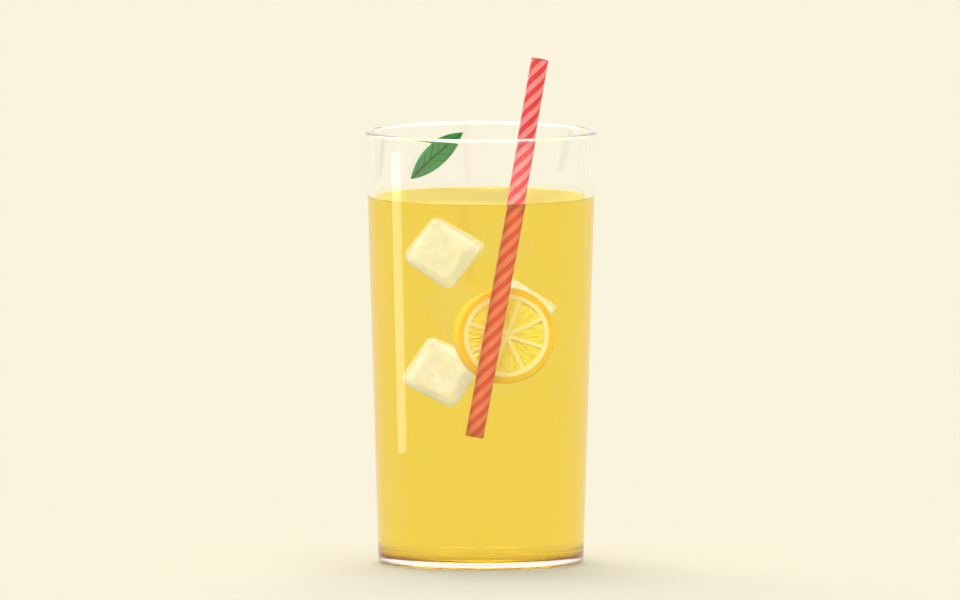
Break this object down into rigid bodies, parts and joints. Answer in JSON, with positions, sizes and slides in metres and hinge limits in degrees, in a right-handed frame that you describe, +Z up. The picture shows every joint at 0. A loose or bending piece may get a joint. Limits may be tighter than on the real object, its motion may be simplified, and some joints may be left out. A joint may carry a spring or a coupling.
{
  "type": "glass of lemonade",
  "caption": "Tall tapered tumbler of yellow lemonade with a striped paper straw, a lemon slice and a green leaf.",
  "frame": {"origin": "centre of the glass's foot, on the surface that it stands on", "axes": "+Z up along the glass's axis; -Y is the front, where the straw and the slice show; +X to the right"},
  "size_m": [0.08, 0.08, 0.1778],
  "materials": {
    "clear_glass": "polished",
    "lemonade": "clear liquid",
    "straw_paper": "red and pink striped waxed paper",
    "lemon": "wet rind and flesh",
    "leaf_green": "satin leaf"
  },
  "bodies": {
    "root": {"glass": "clear_glass", "drink": "lemonade", "straw": "straw_paper", "lemon_slice": "lemon", "leaf": "leaf_green"}
  },
  "joints": []
}
